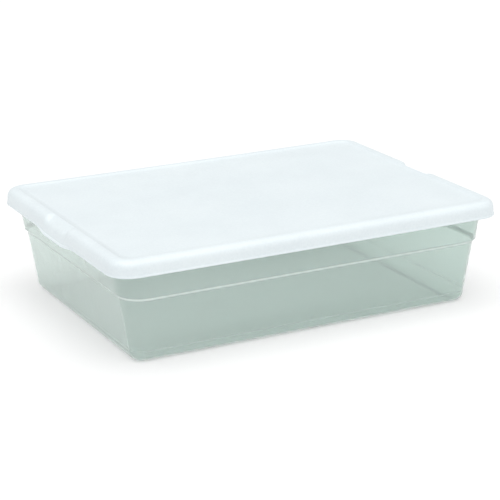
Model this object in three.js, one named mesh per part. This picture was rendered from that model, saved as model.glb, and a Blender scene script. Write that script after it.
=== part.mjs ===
// Under-bed storage box: a shallow see-through tub and a white lid that clips over its rim.
//
// Millimetres. +X runs along the long side, +Y to the back, +Z up.
// The origin is on the floor, under the centre of the box.

import * as THREE from 'three';

// ---- Driving dimensions ----

// Lid: the outline is taken at the lower edge of its skirt, without the end tabs.
const LID_LENGTH = 572;
const LID_WIDTH = 413;
const LID_CORNER = 32;
const LID_THICKNESS = 1.5;
const BOX_HEIGHT = 147;
const SKIRT_BOTTOM = 125.5;
const SKIRT_LEAN = 1.6;
const SHOULDER_RADIUS = 11.2;
const LAND_WIDTH = 4.6;
const PANEL_DROP = 1.7;
const PANEL_SLOPE = 2.2;
const LIP_HEIGHT = 1.8;
const LIP_PROUD = 0.8;
const BEAD_PROUD = 0.7;
const BEAD_PLACES = [0.25, 0.4, 0.55];

// End tab: the middle of each short side hangs lower and flares out, and is scooped above.
const TAB_REACH = 2.6;
const TAB_DROP = 4;
const TAB_FLANGE = { depth: 2.4, rise: 1.2 };
const TAB_HALF_WIDTH = 48;
const TAB_RAMP = 42;
const TAB_WALL_FOOT = { out: -0.8, aboveLip: 2.5 };
const SCOOP_HALF_WIDTH = 36;
const SCOOP_RAMP = 9;
const SCOOP_SLOPE = 0.72;
const SCOOP_OUTER = -3.4;

// Tub: the footprint is taken where the bottom rounding meets the wall.
const TUB_LENGTH = 503;
const TUB_WIDTH = 353;
const TUB_CORNER = 18;
const TUB_THICKNESS = 1.6;
const BOTTOM_RADIUS = 10.8;
const LOWER_DRAFT = 0.157;
const UPPER_DRAFT = 0.14;
const LEDGE_BOTTOM = 87.5;
const LEDGE_TOP = 91;
const LEDGE_STEP = 3.8;
const FOOT_BAND = 6;
const FLOOR_RAISE = 1.5;
const FLOOR_RAISE_SLOPE = 2.5;

// Rim of the tub, which the lid clips over. It dips in the middle of both ends, under the scoop.
const RIM_CLEARANCE = 0.4;
const RIM_LIP_BOTTOM = 132.5;
const RIM_THICKNESS = 1.6;
const RIM_ROOT_HEIGHT = 141.5;
const RIM_BLEND_HEIGHT = 12;
const RIM_TOP_SLACK = 1.8;
const RIM_DIP = { out: -1.5, up: -5.5, halfWidth: 65, ramp: 8 };

// Fineness of the round parts.
const CORNER_STEPS = 5;
const ARC_STEPS = 4;
const END_STATIONS = [-70, -60, -54, -48, -42, -36, -30, -22, 0, 22, 30, 36, 42, 48, 54, 60, 70];

const LID_OUTLINE = { halfLength: LID_LENGTH / 2, halfWidth: LID_WIDTH / 2, corner: LID_CORNER };
const TUB_OUTLINE = { halfLength: TUB_LENGTH / 2, halfWidth: TUB_WIDTH / 2, corner: TUB_CORNER };
const NO_SHIFT = { out: 0, up: 0, halfWidth: 0, ramp: 1 };

// ---- Rings and shells ----

// A station is one point of the wall's cross-section, carried once around the box:
// an outline grown by `out`, at height z, with an optional shift of the middle of both ends.
function station(outline, out, z, shift = NO_SHIFT) {
  return { outline, out, z, shift };
}

// How much of a station's shift applies at distance y from the middle of an end.
function shiftWeight(y, { halfWidth, ramp }) {
  return 1 - THREE.MathUtils.smoothstep(Math.abs(y), halfWidth - ramp / 2, halfWidth + ramp / 2);
}

function cornerArc(centreX, centreY, radius, startAngle, z) {
  const points = [];
  for (let i = 0; i <= CORNER_STEPS; i += 1) {
    const angle = startAngle + (Math.PI / 2) * (i / CORNER_STEPS);
    points.push([centreX + radius * Math.cos(angle), centreY + radius * Math.sin(angle), z]);
  }
  return points;
}

// The +X half runs anticlockwise from the front side to the back side; the other half is its half turn.
function ringPoints({ outline, out, z, shift }) {
  const halfLength = outline.halfLength + out;
  const halfWidth = outline.halfWidth + out;
  const radius = outline.corner + out;
  const centreX = halfLength - radius;
  const centreY = halfWidth - radius;
  const end = END_STATIONS.map((y) => {
    const weight = shiftWeight(y, shift);
    return [halfLength + weight * shift.out, y, z + weight * shift.up];
  });
  const half = [
    ...cornerArc(centreX, -centreY, radius, -Math.PI / 2, z),
    ...end,
    ...cornerArc(centreX, centreY, radius, 0, z),
  ];
  return [...half, ...half.map(([x, y, height]) => [-x, -y, height])];
}

// One closed body through a list of stations. The first ring is closed by a flat cap that faces
// down and the last by one that faces up, so the list runs outwards and upwards, then back in.
function shellGeometry(stations) {
  const rings = stations.map(ringPoints);
  const count = rings[0].length;
  const bottomCentre = [0, 0, stations[0].z];
  const topCentre = [0, 0, stations[stations.length - 1].z];
  const positions = [...rings.flat(), bottomCentre, topCentre].flat();
  const bottomIndex = rings.length * count;
  const topIndex = bottomIndex + 1;
  const lastRing = (rings.length - 1) * count;
  const indices = [];
  for (let i = 0; i < count; i += 1) {
    const next = (i + 1) % count;
    indices.push(bottomIndex, next, i);
    indices.push(topIndex, lastRing + i, lastRing + next);
    for (let ring = 0; ring < rings.length - 1; ring += 1) {
      const here = ring * count;
      const above = here + count;
      indices.push(here + i, here + next, above + next);
      indices.push(here + i, above + next, above + i);
    }
  }
  const geometry = new THREE.BufferGeometry();
  geometry.setAttribute('position', new THREE.Float32BufferAttribute(positions, 3));
  geometry.setIndex(indices);
  geometry.computeVertexNormals();
  return geometry;
}

// Points of a quarter circle in the cross-section, from startAngle to startAngle + 90 degrees.
function quarterArc(centreOut, centreZ, radius, startAngle) {
  const points = [];
  for (let i = 0; i <= ARC_STEPS; i += 1) {
    const angle = startAngle + (Math.PI / 2) * (i / ARC_STEPS);
    points.push([centreOut + radius * Math.cos(angle), centreZ + radius * Math.sin(angle)]);
  }
  return points;
}

// A cross-section moved sideways by `distance`, to the left of its direction of travel.
function offsetSection(points, distance) {
  const edgeNormals = points.slice(1).map(([x, z], i) => {
    const dx = x - points[i][0];
    const dz = z - points[i][1];
    const length = Math.hypot(dx, dz);
    return [-dz / length, dx / length];
  });
  return points.map(([x, z], i) => {
    const before = edgeNormals[Math.max(i - 1, 0)];
    const after = edgeNormals[Math.min(i, edgeNormals.length - 1)];
    const cosine = before[0] * after[0] + before[1] * after[1];
    const reach = distance / (1 + cosine);
    return [x + (before[0] + after[0]) * reach, z + (before[1] + after[1]) * reach];
  });
}

function makeMesh(name, stations, material) {
  const mesh = new THREE.Mesh(shellGeometry(stations), material);
  mesh.name = name;
  return mesh;
}

// ---- Lid ----

// Outer face of the lid from the lower lip to the recessed panel, as [out, z] pairs.
function lidSection() {
  const skirtTop = BOX_HEIGHT - SHOULDER_RADIUS;
  const shoulder = quarterArc(-SKIRT_LEAN - SHOULDER_RADIUS, skirtTop, SHOULDER_RADIUS, 0);
  const landInner = -SKIRT_LEAN - SHOULDER_RADIUS - LAND_WIDTH;
  return [
    [0, SKIRT_BOTTOM],
    [0, SKIRT_BOTTOM + LIP_HEIGHT],
    [-LIP_PROUD, SKIRT_BOTTOM + LIP_HEIGHT + LIP_PROUD],
    ...shoulder,
    [landInner, BOX_HEIGHT],
    [landInner - PANEL_SLOPE, BOX_HEIGHT - PANEL_DROP],
  ];
}

// The same face in the middle of a short side: a thumb scoop that ends in the pull tab.
// It has one point for each point of lidSection, so that the two blend into each other.
function tabSection(section) {
  const lipTop = SKIRT_BOTTOM + LIP_HEIGHT;
  const landEdge = section[section.length - 2];
  const scoop = [];
  for (let i = 0; i < ARC_STEPS; i += 1) {
    const out = THREE.MathUtils.lerp(SCOOP_OUTER, landEdge[0], i / ARC_STEPS);
    scoop.push([out, landEdge[1] - (out - landEdge[0]) * SCOOP_SLOPE]);
  }
  return [
    [TAB_REACH, SKIRT_BOTTOM - TAB_DROP],
    [TAB_REACH, lipTop - TAB_DROP],
    [TAB_REACH - TAB_FLANGE.depth, lipTop - TAB_DROP + TAB_FLANGE.rise],
    [TAB_WALL_FOOT.out, lipTop + TAB_WALL_FOOT.aboveLip],
    ...scoop,
    landEdge,
    section[section.length - 1],
  ];
}

// Adds a small bead inside the skirt, just below the tub's lip, which it catches under.
function withBead(section, proud) {
  const [foot, top] = section.slice(2, 4);
  const onSkirt = (t, inward) => [
    THREE.MathUtils.lerp(foot[0], top[0], t) - inward,
    THREE.MathUtils.lerp(foot[1], top[1], t),
  ];
  const [start, crest, end] = BEAD_PLACES;
  const bead = [onSkirt(start, 0), onSkirt(crest, proud), onSkirt(end, 0)];
  return [...section.slice(0, 3), ...bead, ...section.slice(3)];
}

// The stretch of a short side that the tab takes up at height z: long and fading slowly at the
// lip, and narrowing up to the scoop's sharper ends.
function tabStretchAt(z) {
  const share = THREE.MathUtils.inverseLerp(SKIRT_BOTTOM, BOX_HEIGHT, z);
  return {
    halfWidth: THREE.MathUtils.lerp(TAB_HALF_WIDTH, SCOOP_HALF_WIDTH, share),
    ramp: THREE.MathUtils.lerp(TAB_RAMP, SCOOP_RAMP, share),
  };
}

function lidStations(section, tab) {
  return section.map(([out, z], i) => station(LID_OUTLINE, out, z, {
    out: tab[i][0] - out,
    up: tab[i][1] - z,
    ...tabStretchAt(z),
  }));
}

function makeLid() {
  const outer = lidSection();
  const outerTab = tabSection(outer);
  const inner = offsetSection(outer, LID_THICKNESS);
  const innerTab = offsetSection(outerTab, LID_THICKNESS);
  inner[0][1] = SKIRT_BOTTOM;
  innerTab[0][1] = SKIRT_BOTTOM - TAB_DROP;
  const under = lidStations(withBead(inner, BEAD_PROUD), withBead(innerTab, 0)).reverse();
  return makeMesh('lid', [...under, ...lidStations(outer, outerTab)], new THREE.MeshStandardMaterial({
    color: 0xf1f4f6,
    roughness: 0.45,
    metalness: 0,
  }));
}

// ---- Tub ----

function lowerWallOut(z) {
  return (z - BOTTOM_RADIUS) * LOWER_DRAFT;
}

function upperWallOut(z) {
  return lowerWallOut(LEDGE_BOTTOM) + LEDGE_STEP + (z - LEDGE_TOP) * UPPER_DRAFT;
}

// Outer face of the tub from the raised floor to the root of the rim, as [out, z] pairs.
function tubSection() {
  const footOuter = -BOTTOM_RADIUS;
  const footInner = footOuter - FOOT_BAND;
  const blendFrom = RIM_ROOT_HEIGHT - RIM_BLEND_HEIGHT;
  const rounding = quarterArc(-BOTTOM_RADIUS, BOTTOM_RADIUS, BOTTOM_RADIUS, -Math.PI / 2);
  return [
    [footInner - FLOOR_RAISE_SLOPE, FLOOR_RAISE],
    [footInner, 0],
    ...rounding,
    [lowerWallOut(LEDGE_BOTTOM), LEDGE_BOTTOM],
    [upperWallOut(LEDGE_TOP), LEDGE_TOP],
    [upperWallOut(blendFrom), blendFrom],
    [upperWallOut(RIM_ROOT_HEIGHT), RIM_ROOT_HEIGHT],
  ];
}

// The turned-over rim, from its root on the wall, down its lip and back up over the top.
// Its sizes follow the inside of the lid.
function rimStations() {
  const lipOut = -SKIRT_LEAN - LID_THICKNESS - RIM_CLEARANCE;
  const lipTop = BOX_HEIGHT - SHOULDER_RADIUS;
  const bendRadius = SHOULDER_RADIUS - LID_THICKNESS - RIM_CLEARANCE;
  const bend = quarterArc(lipOut - bendRadius, lipTop, bendRadius, 0).slice(0, ARC_STEPS);
  const points = [
    [lipOut - RIM_THICKNESS, lipTop],
    [lipOut - RIM_THICKNESS, RIM_LIP_BOTTOM],
    [lipOut, RIM_LIP_BOTTOM],
    ...bend,
  ];
  return points.map(([out, z]) => station(LID_OUTLINE, out, z, RIM_DIP));
}

function makeTub() {
  const outer = tubSection();
  const inner = offsetSection(outer, TUB_THICKNESS);
  inner[inner.length - 1][1] = BOX_HEIGHT - LID_THICKNESS - RIM_TOP_SLACK;
  const isRimRoot = (i) => i === outer.length - 1;
  const toStations = (points) => points.map(([out, z], i) => (
    station(TUB_OUTLINE, out, z, isRimRoot(i) ? RIM_DIP : NO_SHIFT)
  ));
  const stations = [...toStations(outer), ...rimStations(), ...toStations(inner).reverse()];
  return makeMesh('tub', stations, new THREE.MeshStandardMaterial({
    color: 0xdde5e0,
    roughness: 0.35,
    metalness: 0,
    transparent: true,
    opacity: 0.5,
  }));
}

const box = new THREE.Group();
box.add(makeTub(), makeLid());

export default box;
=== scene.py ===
"""Looks of the under-bed storage box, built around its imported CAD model.

The frame is the CAD model's: +X along the long side, +Y to the back, +Z up, origin on the floor.
Sizes in this file are millimetres, as in the design, and a mesh is scaled to metres when it is made.
"""

import math
from collections import namedtuple

import bpy
import numpy as np
from mathutils import Matrix, Vector, noise


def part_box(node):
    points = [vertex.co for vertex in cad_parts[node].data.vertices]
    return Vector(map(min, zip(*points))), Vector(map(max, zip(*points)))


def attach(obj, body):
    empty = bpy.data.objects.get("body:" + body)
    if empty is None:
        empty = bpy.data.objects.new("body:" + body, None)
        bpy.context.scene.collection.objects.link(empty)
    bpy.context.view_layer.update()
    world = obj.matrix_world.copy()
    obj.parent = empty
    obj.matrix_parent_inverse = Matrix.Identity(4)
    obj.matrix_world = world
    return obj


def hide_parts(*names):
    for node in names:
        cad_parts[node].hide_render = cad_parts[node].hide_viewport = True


MM = 0.001

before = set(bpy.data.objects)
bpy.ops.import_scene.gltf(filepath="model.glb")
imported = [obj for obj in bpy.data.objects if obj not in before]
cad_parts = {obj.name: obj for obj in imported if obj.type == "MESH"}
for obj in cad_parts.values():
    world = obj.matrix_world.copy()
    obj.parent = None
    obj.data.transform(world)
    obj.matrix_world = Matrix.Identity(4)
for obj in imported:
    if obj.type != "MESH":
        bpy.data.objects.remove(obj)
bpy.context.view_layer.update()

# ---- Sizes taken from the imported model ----

lid_low, lid_high = (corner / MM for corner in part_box("lid"))
BOX_HEIGHT = lid_high.z
TAB_DROP = 4.0
SKIRT_BOTTOM = lid_low.z + TAB_DROP

# ---- Driving dimensions: close to the design's, with finer roundings ----
# Offsets run outwards from an outline, so one that goes inwards is negative.

# Lid: the outline is taken at the lower edge of its skirt, without the end tabs.
LID_LENGTH = 572.0
LID_WIDTH = 2 * lid_high.y
LID_CORNER = 32.0
LID_THICKNESS = 1.5
SHOULDER_RADIUS = 11.2
SKIRT_LEAN = 1.6
SKIRT_TOP_IN = 2.0
SKIRT_FOOT_IN = 0.15
LAND_INNER = -17.4
PANEL_DROP = 1.7
PANEL_SLOPE = 2.2
LIP_HEIGHT = 1.8
LIP_PROUD = 0.8

# End tab: the middle of each short side hangs lower and flares out, and is scooped above.
TAB_REACH = lid_high.x - LID_LENGTH / 2
TAB_FLANGE = 2.4
TAB_FLANGE_RISE = 1.2
TAB_HALF_WIDTH = 48.0
TAB_RAMP = 42.0
TAB_WALL_FOOT = (-0.8, 2.5)
SCOOP_HALF_WIDTH = 36.0
SCOOP_RAMP = 9.0
SCOOP_SLOPE = 0.72
SCOOP_OUTER = -3.4

# Tub: the footprint is taken at the height BOTTOM_REFERENCE. FOOT_INNER is how far inside it
# the foot band ends.
TUB_LENGTH = 503.0
TUB_WIDTH = 353.0
TUB_CORNER = 18.0
TUB_THICKNESS = 1.6
BOTTOM_RADIUS = 12.5
BOTTOM_REFERENCE = 10.8
LOWER_DRAFT = 0.157
UPPER_DRAFT = 0.14
LEDGE_BOTTOM = 87.5
LEDGE_TOP = 91.0
LEDGE_STEP = 3.8
FOOT_INNER = 16.8
FLOOR_RAISE = 1.5
FLOOR_RAISE_SLOPE = 2.5

# Rim of the tub, which dips in the middle of both ends, under the scoop.
RIM_CLEARANCE = 0.4
RIM_LIP_BOTTOM = 132.5
RIM_THICKNESS = 1.6
RIM_ROOT_HEIGHT = 141.5
RIM_TOP = 144.3
RIM_RADIUS = 8.4
RIM_BEND_DROP = 2.5

# Radii of the small rounded edges.
CUT_EDGE_RADIUS = 0.5
LIP_TOP_RADIUS = 0.6
LIP_BACK_RADIUS = 0.8
LIP_INSIDE_RADIUS = 1.0
SKIRT_FOOT_RADIUS = 2.0
PANEL_EDGE_RADIUS = 1.6
FOOT_RADIUS = 1.5
LEDGE_RADIUS = 1.6
RIM_ROOT_RADIUS = 1.2
RIM_MOUTH_RADIUS = 1.0
RIM_INSIDE_RADIUS = 2.0

# Fineness of the meshes.
CORNER_STEPS = 20
TAB_ZONE = 75.0
TAB_ZONE_STEPS = 50
END_STEPS = 8
SIDE_STEPS = 40
FILLET_STEPS = 7
ROW_SPACING = 9.0
SUPPORT_GAP = 1.2
CAP_SHARES = [0.97, 0.9, 0.8, 0.67, 0.53, 0.39, 0.25, 0.12]

# The roundings at the two ends of a span take at most this much of it together.
FILLET_SHARE = 0.98
TINY = 1e-9

Outline = namedtuple("Outline", "half_length half_width corner")
Shift = namedtuple("Shift", "out up half_width ramp")
Station = namedtuple("Station", "outline out z radius shift", defaults=(Shift(0, 0, 0, 1),))

LID_OUTLINE = Outline(LID_LENGTH / 2, LID_WIDTH / 2, LID_CORNER)
TUB_OUTLINE = Outline(TUB_LENGTH / 2, TUB_WIDTH / 2, TUB_CORNER)
RIM_DIP = Shift(out=-1.5, up=-5.5, half_width=65.0, ramp=8.0)
RIM_LIP_DIP = RIM_DIP._replace(up=-5.0)


# ---- Rings: one closed loop around the box for each point of a cross-section ----


def shift_weight(y, shift):
    """How much of a station's shift applies at distance y from the middle of an end."""
    t = np.clip((shift.half_width + shift.ramp / 2 - np.abs(y)) / shift.ramp, 0, 1)
    return t * t * (3 - 2 * t)


def corner_points(centre_x, centre_y, radius, start):
    """A quarter circle, anticlockwise from the start angle, as rows of x, y."""
    angles = start + np.linspace(0, math.pi / 2, CORNER_STEPS + 1)
    return np.stack([centre_x + radius * np.cos(angles), centre_y + radius * np.sin(angles)], 1)


def ring(station):
    """The loop of one station, anticlockwise from the front right corner, as rows of x, y, z."""
    half_length = station.outline.half_length + station.out
    half_width = station.outline.half_width + station.out
    radius = max(station.outline.corner + station.out, 1.0)
    centre_x = half_length - radius
    centre_y = half_width - radius

    outer = np.linspace(TAB_ZONE, centre_y, END_STEPS + 1)[1:-1]
    y = np.concatenate([-outer[::-1], np.linspace(-TAB_ZONE, TAB_ZONE, TAB_ZONE_STEPS + 1), outer])
    weight = shift_weight(y, station.shift)
    end = np.stack([half_length + weight * station.shift.out, y, station.z + weight * station.shift.up], 1)

    side_x = np.linspace(centre_x, -centre_x, SIDE_STEPS + 1)[1:-1]
    side = np.stack([side_x, np.full_like(side_x, half_width)], 1)
    flat = [
        corner_points(centre_x, -centre_y, radius, -math.pi / 2),
        corner_points(centre_x, centre_y, radius, 0),
        side,
    ]
    front, back, side = (np.column_stack([part, np.full(len(part), station.z)]) for part in flat)
    half = np.concatenate([front, end, back, side])
    return np.concatenate([half, half * (-1, -1, 1)])


def lengths(vectors):
    return np.linalg.norm(vectors, axis=-1, keepdims=True)


def fitting_share(reach, spans):
    """The factor that makes the roundings at both ends of each span fit on it."""
    return np.minimum(1, FILLET_SHARE * spans / np.maximum(reach[:-1] + reach[1:], TINY))


def fillet_reach(rings, radii):
    """How far each ring's rounding reaches along its arms, and half the angle between the arms."""
    arms = np.diff(rings, axis=0)
    spans = lengths(arms)
    units = arms / np.maximum(spans, TINY)
    cosine = np.clip(-(units[:-1] * units[1:]).sum(-1, keepdims=True), -1, 1)
    half_angle = np.arccos(cosine) / 2
    reach = np.zeros((*rings.shape[:2], 1))
    reach[1:-1] = np.asarray(radii)[1:-1, None, None] / np.maximum(np.tan(half_angle), 1e-3)
    reach[:-1] *= fitting_share(reach, spans)
    reach[1:] *= fitting_share(reach, spans)
    return reach, half_angle, units


def filleted(rings, radii):
    """Replaces each inner ring by an arc of its radius, column by column. Returns the rows."""
    reach, half_angle, units = fillet_reach(rings, radii)
    rows = [rings[0]]
    for i in range(1, len(rings) - 1):
        start = rings[i] - units[i - 1] * reach[i]
        end = rings[i] + units[i] * reach[i]
        weight = np.sin(half_angle[i - 1])
        for t in np.linspace(0, 1, FILLET_STEPS + 1):
            a, b, c = (1 - t) ** 2, 2 * t * (1 - t) * weight, t**2
            rows.append((a * start + b * rings[i] + c * end) / (a + b + c))
    rows.append(rings[-1])
    return rows


def with_support_rows(rows):
    """Adds rows on the long flat spans, and one close to each of their ends, so that they shade flat."""
    result = [rows[0]]
    for here, after in zip(rows, rows[1:]):
        span = float(lengths(after - here).mean())
        if span > 4 * SUPPORT_GAP:
            edge = SUPPORT_GAP / span
            steps = max(int(math.ceil(span / ROW_SPACING)), 1)
            for t in np.linspace(edge, 1 - edge, steps + 1):
                result.append(here + (after - here) * t)
        result.append(after)
    return result


def cap_rows(ring_row):
    """Rows that shrink from a flat outer ring towards the middle."""
    spread = ring_row * (1, 1, 0)
    height = ring_row * (0, 0, 1)
    return [spread * share + height for share in CAP_SHARES]


def shell(name, stations, warp):
    """A closed moulded shell through the stations, its corners rounded, capped flat at both ends."""
    rings = np.array([ring(s) for s in stations])
    rows = with_support_rows(filleted(rings, [s.radius for s in stations]))
    rows = cap_rows(rows[0])[::-1] + rows + cap_rows(rows[-1])
    count = len(rows[0])
    grid = np.array(rows)
    centres = np.array([[0, 0, grid[0, 0, 2]], [0, 0, grid[-1, 0, 2]]])
    points = warp(np.concatenate([grid.reshape(-1, 3), centres]))

    bottom = len(rows) * count
    top = bottom + 1
    last = (len(rows) - 1) * count
    faces = []
    for i in range(count):
        after = (i + 1) % count
        faces.append((bottom, after, i))
        faces.append((top, last + i, last + after))
        for row in range(len(rows) - 1):
            here = row * count
            faces.append((here + i, here + after, here + count + after, here + count + i))
    mesh = bpy.data.meshes.new(name)
    mesh.from_pydata((points * MM).tolist(), [], faces)
    mesh.validate()
    mesh.polygons.foreach_set("use_smooth", [True] * len(mesh.polygons))
    piece = bpy.data.objects.new(name, mesh)
    bpy.context.scene.collection.objects.link(piece)
    return piece


def offset_section(points, distance):
    """A cross-section moved sideways by distance, to the left of its direction of travel."""
    points = np.asarray(points, float)
    edges = np.diff(points, axis=0)
    normals = np.stack([-edges[:, 1], edges[:, 0]], 1) / lengths(edges)
    before = np.concatenate([normals[:1], normals])
    after = np.concatenate([normals, normals[-1:]])
    spread = 1 + (before * after).sum(1, keepdims=True)
    return points + (before + after) * distance / spread


# ---- Small departures from the straight design, as thin mouldings have ----

SAG = 0.7
WALL_WAVE = 0.3
WALL_WAVE_SIZE = 70.0


def sag(x, half_length):
    """How far the long edges hang at distance x from the middle of the box."""
    return SAG * (1 - np.clip(x / half_length, -1, 1) ** 2)


def warp_lid(points):
    """The long edges hang a little in the middle."""
    warped = points.copy()
    warped[:, 2] -= sag(points[:, 0], LID_OUTLINE.half_length)
    return warped


def warp_tub(points):
    """The rim follows the lid's sag, and the walls wave in by a fraction of a millimetre."""
    warped = points.copy()
    rise = np.clip((points[:, 2] - LEDGE_TOP) / (RIM_LIP_BOTTOM - LEDGE_TOP), 0, 1)
    warped[:, 2] -= sag(points[:, 0], LID_OUTLINE.half_length) * rise
    height = np.clip(points[:, 2] / BOX_HEIGHT, 0, 1)
    belly = np.sin(math.pi * height)
    for i, (x, y, z) in enumerate(points):
        if z > BOTTOM_RADIUS:
            wave = 0.5 + 0.5 * noise.noise(Vector((x, y, z)) / WALL_WAVE_SIZE)
            inward = WALL_WAVE * wave * belly[i]
            warped[i, 0] -= inward * x / TUB_OUTLINE.half_length
            warped[i, 1] -= inward * y / TUB_OUTLINE.half_width
    return warped


# ---- Lid ----


def lid_sections():
    """Outer face of the lid from its lower lip to the panel: the plain one, the tab's, and the radii."""
    lip_top = SKIRT_BOTTOM + LIP_HEIGHT
    wall_foot_out, wall_foot_up = TAB_WALL_FOOT
    land_edge = (LAND_INNER, BOX_HEIGHT)
    panel_edge = (LAND_INNER - PANEL_SLOPE, BOX_HEIGHT - PANEL_DROP)
    scoop_outer_z = BOX_HEIGHT - (SCOOP_OUTER - LAND_INNER) * SCOOP_SLOPE
    plain = [
        (0, SKIRT_BOTTOM),
        (0, lip_top),
        (-LIP_PROUD, lip_top + LIP_PROUD),
        (-LIP_PROUD - SKIRT_FOOT_IN, lip_top + wall_foot_up),
        (-SKIRT_TOP_IN, BOX_HEIGHT),
        land_edge,
        panel_edge,
    ]
    tab = [
        (TAB_REACH, SKIRT_BOTTOM - TAB_DROP),
        (TAB_REACH, lip_top - TAB_DROP),
        (TAB_REACH - TAB_FLANGE, lip_top - TAB_DROP + TAB_FLANGE_RISE),
        (wall_foot_out, lip_top + wall_foot_up),
        (SCOOP_OUTER, scoop_outer_z),
        land_edge,
        panel_edge,
    ]
    radii = [
        CUT_EDGE_RADIUS,
        LIP_TOP_RADIUS,
        LIP_BACK_RADIUS,
        SKIRT_FOOT_RADIUS,
        SHOULDER_RADIUS,
        PANEL_EDGE_RADIUS,
        PANEL_EDGE_RADIUS,
    ]
    return plain, tab, radii


def tab_stretch_at(z):
    """Half-width and ramp of the tab at height z: long and soft at the lip, shorter and sharper above."""
    share = (z - SKIRT_BOTTOM) / (BOX_HEIGHT - SKIRT_BOTTOM)
    half_width = TAB_HALF_WIDTH + share * (SCOOP_HALF_WIDTH - TAB_HALF_WIDTH)
    return half_width, TAB_RAMP + share * (SCOOP_RAMP - TAB_RAMP)


def lid_stations(plain, tab, radii):
    """One station for each point of the plain section, shifted to the tab's section at both ends."""
    stations = []
    for (out, z), (tab_out, tab_z), radius in zip(plain, tab, radii):
        shift = Shift(tab_out - out, tab_z - z, *tab_stretch_at(z))
        stations.append(Station(LID_OUTLINE, out, z, radius, shift))
    return stations


def make_lid():
    plain, tab, radii = lid_sections()
    inner_plain = offset_section(plain, LID_THICKNESS)
    inner_tab = offset_section(tab, LID_THICKNESS)
    inner_plain[0, 1] = SKIRT_BOTTOM
    inner_tab[0, 1] = SKIRT_BOTTOM - TAB_DROP
    inner_radii = [
        CUT_EDGE_RADIUS,
        LIP_INSIDE_RADIUS,
        LIP_INSIDE_RADIUS,
        SKIRT_FOOT_RADIUS,
        SHOULDER_RADIUS - LID_THICKNESS,
        PANEL_EDGE_RADIUS,
        PANEL_EDGE_RADIUS,
    ]
    under = lid_stations(inner_plain, inner_tab, inner_radii)[::-1]
    return shell("white_lid", under + lid_stations(plain, tab, radii), warp_lid)


# ---- Tub ----


def lower_wall(z):
    """How far the wall below the ledge stands out from the footprint at height z."""
    return (z - BOTTOM_REFERENCE) * LOWER_DRAFT


def upper_wall(z):
    """How far the wall above the ledge stands out from the footprint at height z."""
    return lower_wall(LEDGE_BOTTOM) + LEDGE_STEP + (z - LEDGE_TOP) * UPPER_DRAFT


def tub_section():
    """Outer face of the tub from the raised floor to the root of the rim."""
    return [
        (-FOOT_INNER - FLOOR_RAISE_SLOPE, FLOOR_RAISE),
        (-FOOT_INNER, 0),
        (lower_wall(0), 0),
        (lower_wall(LEDGE_BOTTOM), LEDGE_BOTTOM),
        (upper_wall(LEDGE_TOP), LEDGE_TOP),
        (upper_wall(RIM_ROOT_HEIGHT), RIM_ROOT_HEIGHT),
    ]


def wall_stations(points, bottom_radius, rim_radius):
    """The stations of one face of the tub's wall, with the last one on the dipping rim."""
    radii = [FOOT_RADIUS, FOOT_RADIUS, bottom_radius, LEDGE_RADIUS, LEDGE_RADIUS, rim_radius]
    stations = [Station(TUB_OUTLINE, out, z, radius) for (out, z), radius in zip(points, radii)]
    stations[-1] = stations[-1]._replace(shift=RIM_DIP)
    return stations


def rim_stations():
    """The turned-over rim, from its root down inside the lip and back up over the outside."""
    lip_out = -SKIRT_LEAN - LID_THICKNESS - RIM_CLEARANCE
    under = lip_out - RIM_THICKNESS
    return [
        Station(LID_OUTLINE, under, RIM_ROOT_HEIGHT - RIM_BEND_DROP, RIM_INSIDE_RADIUS, RIM_DIP),
        Station(LID_OUTLINE, under, RIM_LIP_BOTTOM, CUT_EDGE_RADIUS, RIM_LIP_DIP),
        Station(LID_OUTLINE, lip_out, RIM_LIP_BOTTOM, CUT_EDGE_RADIUS, RIM_LIP_DIP),
        Station(LID_OUTLINE, lip_out, RIM_TOP, RIM_RADIUS, RIM_DIP),
    ]


def make_tub():
    outer = tub_section()
    inner = offset_section(outer, TUB_THICKNESS)
    inner[-1, 1] = RIM_TOP
    outside = wall_stations(outer, BOTTOM_RADIUS, RIM_ROOT_RADIUS)
    inside = wall_stations(inner, BOTTOM_RADIUS - TUB_THICKNESS, RIM_MOUTH_RADIUS)
    return shell("clear_tub", outside + rim_stations() + inside[::-1], warp_tub)


# ---- Materials ----


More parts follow.
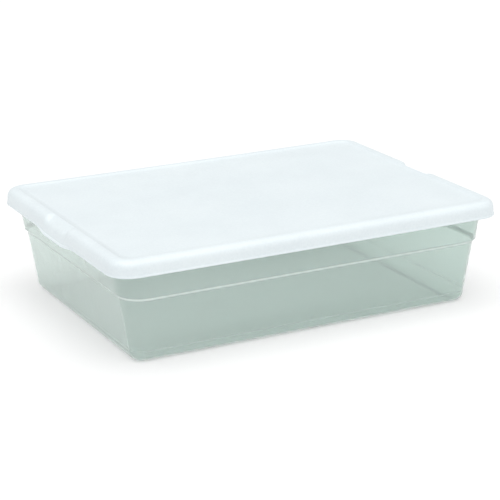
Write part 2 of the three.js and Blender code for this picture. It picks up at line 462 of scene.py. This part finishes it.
class Nodes:
    """A material's node tree, with short calls for the nodes used here."""

    def __init__(self, name):
        self.material = bpy.data.materials.new(name)
        self.material.use_nodes = True
        self.tree = self.material.node_tree
        self.shader = self.tree.nodes["Principled BSDF"]
        self.place = self.tree.nodes.new("ShaderNodeTexCoord").outputs["Object"]

    def link(self, source, socket):
        self.tree.links.new(source, socket)

    def set(self, **values):
        for name, value in values.items():
            self.shader.inputs[name.replace("_", " ")].default_value = value

    def noise(self, scale, detail=2.0):
        node = self.tree.nodes.new("ShaderNodeTexNoise")
        node.inputs["Scale"].default_value = scale
        node.inputs["Detail"].default_value = detail
        self.link(self.place, node.inputs["Vector"])
        return node.outputs["Fac"]

    def remap(self, source, low, high, to_low, to_high):
        node = self.tree.nodes.new("ShaderNodeMapRange")
        for name, value in zip(("From Min", "From Max", "To Min", "To Max"), (low, high, to_low, to_high)):
            node.inputs[name].default_value = value
        self.link(source, node.inputs["Value"])
        return node.outputs["Result"]

    def ramp(self, source, colours):
        """A colour ramp: colours is a list of (position, colour), with positions from 0 to 1."""
        node = self.tree.nodes.new("ShaderNodeValToRGB")
        elements = node.color_ramp.elements
        while len(elements) < len(colours):
            elements.new(0.5)
        for element, (position, _) in zip(elements, colours):
            element.position = position
        for element, (_, colour) in zip(elements, colours):
            element.color = (*colour, 1)
        self.link(source, node.inputs["Fac"])
        return node.outputs["Color"]

    def coordinates(self):
        """The x, y and z of the shaded point, in metres."""
        node = self.tree.nodes.new("ShaderNodeSeparateXYZ")
        self.link(self.place, node.inputs["Vector"])
        return node.outputs

    def math(self, operation, a, b):
        node = self.tree.nodes.new("ShaderNodeMath")
        node.operation = operation
        for socket, value in zip(node.inputs, (a, b)):
            if isinstance(value, (int, float)):
                socket.default_value = value
            else:
                self.link(value, socket)
        return node.outputs["Value"]

    def bump(self, height, distance, after=None):
        node = self.tree.nodes.new("ShaderNodeBump")
        node.inputs["Distance"].default_value = distance
        self.link(height, node.inputs["Height"])
        if after is not None:
            self.link(after, node.inputs["Normal"])
        return node.outputs["Normal"]


def mottled(m, broad, fine):
    """A slow variation of tone with a fine grain in it, both as noise scales."""
    slow = m.math("MULTIPLY", m.noise(broad, 3.0), 0.5)
    grain = m.math("MULTIPLY", m.noise(fine, 1.0), 0.5)
    return m.math("ADD", slow, grain)


def lid_material():
    m = Nodes("white_lid_plastic")
    colours = [(0.35, (0.775, 0.846, 0.874)), (0.65, (0.825, 0.894, 0.916))]
    m.link(m.ramp(mottled(m, 9.0, 330.0), colours), m.shader.inputs["Base Color"])
    m.link(m.remap(m.noise(35.0), 0.3, 0.7, 0.34, 0.44), m.shader.inputs["Roughness"])
    soft = m.bump(m.noise(140.0, 2.0), 0.00006)
    m.link(m.bump(m.noise(1100.0, 1.0), 0.00008, after=soft), m.shader.inputs["Normal"])
    m.set(IOR=1.49)
    return m.material


CLEARNESS = 0.77
# Partly thicker, cloudier plastic at the step and partly a painted highlight: the ledge band shows as a
# light line.
LEDGE_CLEARNESS = 0.35
# Painted highlight: a thin cloudier band above the foot, which shows as a light line.
FOOT_HIGHLIGHT_CLEARNESS = 0.7
FOOT_HIGHLIGHT_HEIGHT = 15.8
FOOT_HIGHLIGHT_HALF = 0.4
FOOT_HIGHLIGHT_FADE = 1.0


def tub_clearness(m):
    """How see-through the tub is: cloudier on the ledge, partly as thicker plastic at the step and partly
    as a painted highlight line, and cloudier along a line above the foot as a painted highlight.
    """
    heights = [
        (FOOT_HIGHLIGHT_HEIGHT - FOOT_HIGHLIGHT_FADE, CLEARNESS),
        (FOOT_HIGHLIGHT_HEIGHT - FOOT_HIGHLIGHT_HALF, FOOT_HIGHLIGHT_CLEARNESS),
        (FOOT_HIGHLIGHT_HEIGHT + FOOT_HIGHLIGHT_HALF, FOOT_HIGHLIGHT_CLEARNESS),
        (FOOT_HIGHLIGHT_HEIGHT + FOOT_HIGHLIGHT_FADE, CLEARNESS),
        (LEDGE_BOTTOM - 1.0, CLEARNESS),
        (LEDGE_BOTTOM + 0.5, LEDGE_CLEARNESS),
        (LEDGE_TOP, LEDGE_CLEARNESS),
        (LEDGE_TOP + 1.5, CLEARNESS),
    ]
    share = m.math("DIVIDE", m.coordinates()["Z"], BOX_HEIGHT * MM)
    return m.ramp(share, [(height / BOX_HEIGHT, (value,) * 3) for height, value in heights])


def tub_mottle_and_painted_light(m):
    """Mottled at random, and lighter towards the left end as painted light that brightens that end."""
    end = TUB_OUTLINE.half_length * MM
    # Painted light: the base colour grows lighter towards the left end, where the tub looks brighter in
    # the light.
    painted_light_left = m.remap(m.coordinates()["X"], -end, 0.4 * end, 0.42, 0)
    return m.math("ADD", m.math("MULTIPLY", mottled(m, 7.0, 300.0), 0.5), painted_light_left)


def tub_material():
    m = Nodes("clear_tub_plastic")
    colours = [(0.2, (0.852, 0.958, 0.917)), (0.8, (0.897, 0.99, 0.955))]
    m.link(m.ramp(tub_mottle_and_painted_light(m), colours), m.shader.inputs["Base Color"])
    m.link(m.remap(m.noise(30.0), 0.3, 0.7, 0.05, 0.075), m.shader.inputs["Roughness"])
    m.link(m.bump(m.noise(60.0, 2.0), 0.0001), m.shader.inputs["Normal"])
    m.link(tub_clearness(m), m.shader.inputs["Transmission Weight"])
    m.set(IOR=1.46)
    return m.material


# ---- Camera, light and floor: metres and degrees ----

CAMERA_AZIMUTH = -27.17
CAMERA_ELEVATION = 17.82
CAMERA_ROLL = -0.68
CAMERA_AIM = (0.0021, -0.0043, 0.0647)
CAMERA_DISTANCE = 2.438
CAMERA_LENS = 125.7
WORLD_STRENGTH = 0.5
FLOOR_HALF_SIZE = 8.0
FLOOR_HEIGHT = -0.0003


def direction(azimuth, elevation):
    """Unit vector from the object towards a place at that azimuth and elevation, in degrees."""
    a, e = math.radians(azimuth), math.radians(elevation)
    return Vector((math.sin(a) * math.cos(e), -math.cos(a) * math.cos(e), math.sin(e)))


def make_camera():
    data = bpy.data.cameras.new("camera")
    data.lens = CAMERA_LENS
    data.clip_end = 100
    camera = bpy.data.objects.new("camera", data)
    bpy.context.scene.collection.objects.link(camera)
    back = direction(CAMERA_AZIMUTH, CAMERA_ELEVATION)
    turn = back.to_track_quat("Z", "Y").to_matrix() @ Matrix.Rotation(math.radians(CAMERA_ROLL), 3, "Z")
    camera.matrix_world = Matrix.Translation(Vector(CAMERA_AIM) + back * CAMERA_DISTANCE) @ turn.to_4x4()
    bpy.context.scene.camera = camera


def make_sun(name, azimuth, elevation, strength, angle):
    """A sun seen at that azimuth and elevation; its angle, in degrees, sets how soft the shadows are."""
    data = bpy.data.lights.new(name, "SUN")
    data.energy = strength
    data.angle = math.radians(angle)
    sun = bpy.data.objects.new(name, data)
    bpy.context.scene.collection.objects.link(sun)
    sun.rotation_euler = direction(azimuth, elevation).to_track_quat("Z", "Y").to_euler()


def make_floor():
    """A plain pale floor, a hair below the tub's foot so that the two faces never coincide."""
    mesh = bpy.data.meshes.new("floor")
    signs = [(-1, -1), (1, -1), (1, 1), (-1, 1)]
    corners = [(x * FLOOR_HALF_SIZE, y * FLOOR_HALF_SIZE, FLOOR_HEIGHT) for x, y in signs]
    mesh.from_pydata(corners, [], [(0, 1, 2, 3)])
    floor = bpy.data.objects.new("floor", mesh)
    bpy.context.scene.collection.objects.link(floor)
    m = Nodes("pale_floor")
    m.set(Base_Color=(0.55, 0.55, 0.55, 1), Roughness=0.9, Emission_Strength=0.45)
    mesh.materials.append(m.material)


def make_world():
    """Even light all round, which the camera itself sees as white."""
    world = bpy.data.worlds.new("studio")
    world.use_nodes = True
    background = world.node_tree.nodes["Background"]
    background.inputs["Color"].default_value = (1, 1, 1, 1)
    path = world.node_tree.nodes.new("ShaderNodeLightPath")
    strength = world.node_tree.nodes.new("ShaderNodeMapRange")
    strength.inputs["To Min"].default_value = WORLD_STRENGTH
    world.node_tree.links.new(path.outputs["Is Camera Ray"], strength.inputs["Value"])
    world.node_tree.links.new(strength.outputs["Result"], background.inputs["Strength"])
    bpy.context.scene.world = world


bpy.context.scene.view_settings.view_transform = "Standard"
make_camera()
make_world()
make_floor()
make_sun("key", azimuth=-25, elevation=76, strength=2.05, angle=70)

lid = make_lid()
lid.data.materials.append(lid_material())
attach(lid, "lid")
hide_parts("lid")

tub = make_tub()
tub.data.materials.append(tub_material())
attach(tub, "tub")
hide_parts("tub")
